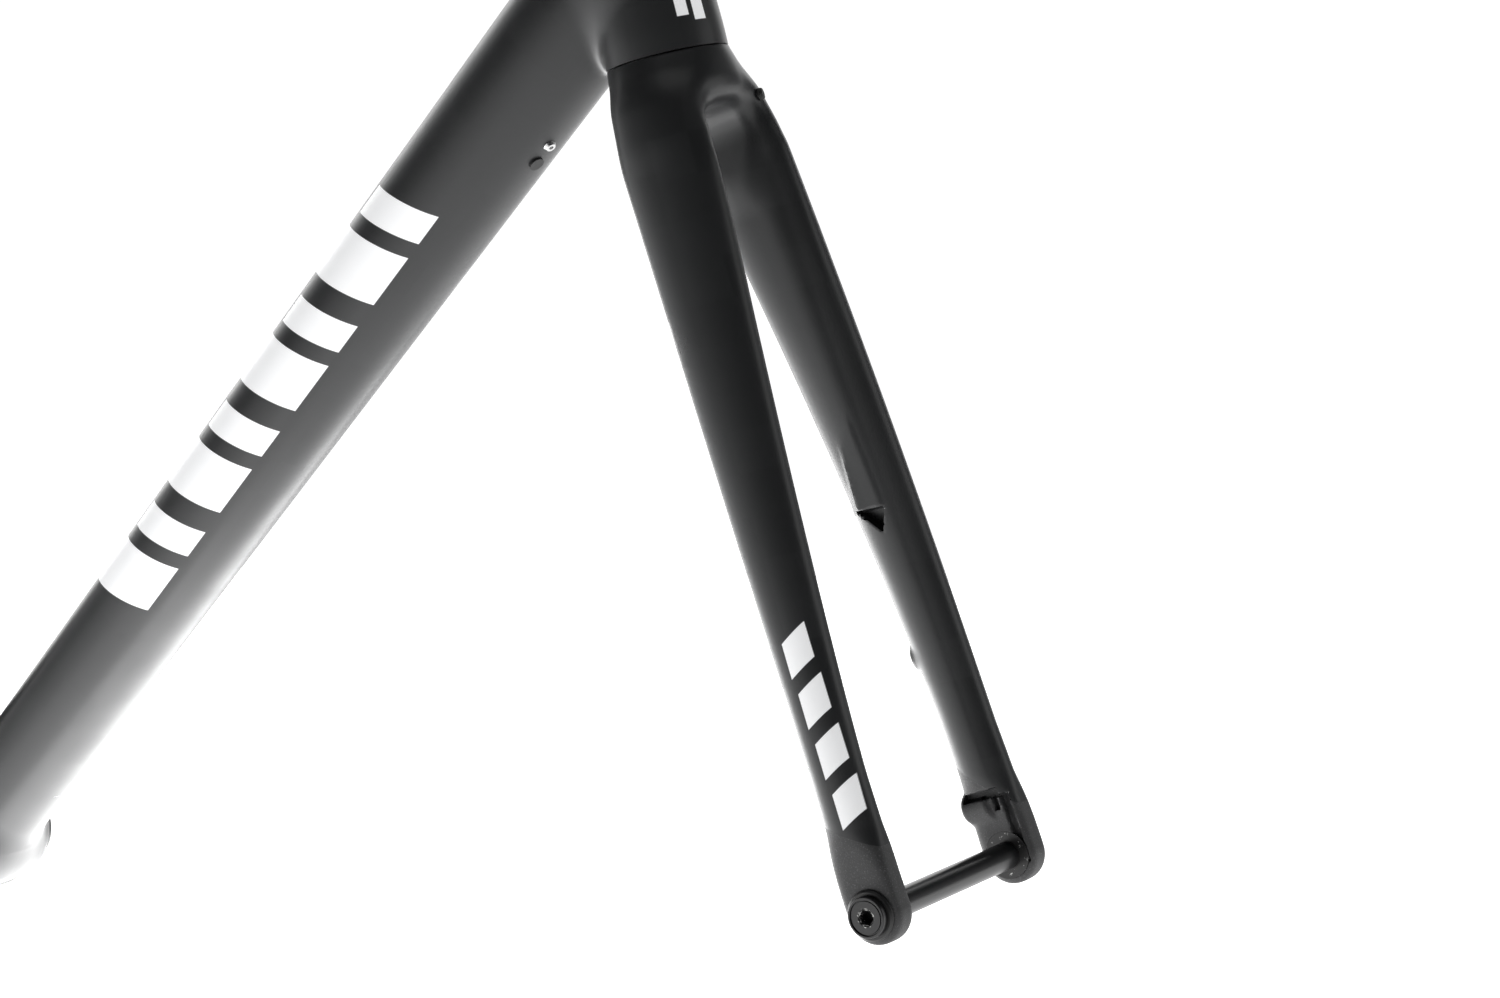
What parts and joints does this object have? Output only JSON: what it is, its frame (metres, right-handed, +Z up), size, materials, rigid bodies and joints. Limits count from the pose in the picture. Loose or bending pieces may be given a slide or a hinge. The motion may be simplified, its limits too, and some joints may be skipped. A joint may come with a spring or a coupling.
{
  "type": "bicycle frameset",
  "caption": "Carbon road disc bicycle frame with its fork, headset and thru-axles, ready to take wheels, stem, seatpost, bottom bracket and flat mount brakes.",
  "frame": {"origin": "centre of the bottom bracket shell", "axes": "+X forward, +Y to the rider's left, +Z up"},
  "size_m": [1.0038, 0.1726, 0.6428],
  "materials": {
    "carbon_skin": "matt clear coat over black carbon",
    "tip_skin": "rough speckled dark grey",
    "black_alloy": "black anodised",
    "axle_alloy": "satin black anodised",
    "bearing_steel": "ground",
    "screw_steel": "bright",
    "rubber": "matt",
    "black_plastic": "satin"
  },
  "bodies": {
    "frame": {"head_tube": "carbon_skin", "top_tube": "carbon_skin", "down_tube": "carbon_skin", "seat_tube": "carbon_skin", "bb_shell": "carbon_skin", "bb_thread_sleeve": "black_alloy", "chainstay_left": "carbon_skin", "chainstay_right": "carbon_skin", "seatstay_left": "carbon_skin", "seatstay_right": "carbon_skin", "dropout_left": "carbon_skin", "dropout_right": "carbon_skin", "derailleur_hanger": "black_alloy", "hanger_nut": "black_alloy", "rear_axle_bushing": "black_alloy", "seat_collar": "black_alloy", "seat_collar_bolt": "screw_steel", "down_tube_bottle_bosses": "black_alloy", "seat_tube_bottle_bosses": "black_alloy", "down_tube_port_plug": "rubber", "down_tube_port_screw": "screw_steel", "bb_port_cover": "rubber", "bb_port_screw": "screw_steel", "rear_brake_sleeves": "black_alloy", "rear_hose_grommet": "rubber", "lower_outer_race": "bearing_steel", "lower_bearing_seals": "rubber", "upper_outer_race": "bearing_steel", "upper_bearing_seals": "rubber"},
    "fork": {"steerer_tube": "carbon_skin", "fork_crown": "carbon_skin", "crown_port_plug": "rubber", "fork_leg_left": "carbon_skin", "fork_leg_right": "carbon_skin", "fork_tip_left": "tip_skin", "fork_tip_right": "tip_skin", "front_brake_inserts": "black_alloy", "front_thread_insert": "black_alloy", "front_axle_bushing": "black_alloy", "crown_race": "bearing_steel", "lower_inner_race": "bearing_steel", "upper_inner_race": "bearing_steel", "compression_ring": "black_alloy", "headset_top_cover": "black_alloy", "headset_spacers": "black_alloy", "expander_sleeve": "black_alloy", "expander_wedge": "black_alloy", "expander_bolt": "screw_steel"},
    "lower_balls": {"lower_bearing_balls": "bearing_steel", "lower_bearing_cage": "black_plastic"},
    "upper_balls": {"upper_bearing_balls": "bearing_steel", "upper_bearing_cage": "black_plastic"},
    "front_washer": {"front_axle_washer": "black_plastic"},
    "front_axle": {"front_axle_shaft": "axle_alloy"},
    "rear_washer": {"rear_axle_washer": "black_plastic"},
    "rear_axle": {"rear_axle_shaft": "axle_alloy"}
  },
  "joints": [
    {"name": "steer", "type": "hinge", "parent": "frame", "child": "fork", "pos_m": [0.42263, 0, 0.4096], "axis": [-0.284, 0, 0.9588], "continuous": true},
    {"name": "lower_balls_roll", "type": "hinge", "parent": "frame", "child": "lower_balls", "pos_m": [0.42263, 0, 0.4096], "axis": [-0.284, 0, 0.9588], "continuous": true},
    {"name": "upper_balls_roll", "type": "hinge", "parent": "frame", "child": "upper_balls", "pos_m": [0.42263, 0, 0.4096], "axis": [-0.284, 0, 0.9588], "continuous": true},
    {"name": "front_axle_pull", "type": "slide", "parent": "fork", "child": "front_washer", "axis": [0, -1, 0], "range_m": [0, 0.13]},
    {"name": "front_axle_turn", "type": "hinge", "parent": "front_washer", "child": "front_axle", "pos_m": [0.57008, 0, 0.07025], "axis": [0, 1, 0], "continuous": true},
    {"name": "rear_axle_pull", "type": "slide", "parent": "frame", "child": "rear_washer", "axis": [0, 1, 0], "range_m": [0, 0.175]},
    {"name": "rear_axle_turn", "type": "hinge", "parent": "rear_washer", "child": "rear_axle", "pos_m": [-0.404, 0, 0.07], "axis": [0, 1, 0], "continuous": true}
  ],
  "couplings": [
    {"joint": "lower_balls_roll", "follows": "steer", "ratio": 0.463},
    {"joint": "upper_balls_roll", "follows": "steer", "ratio": 0.4586}
  ]
}
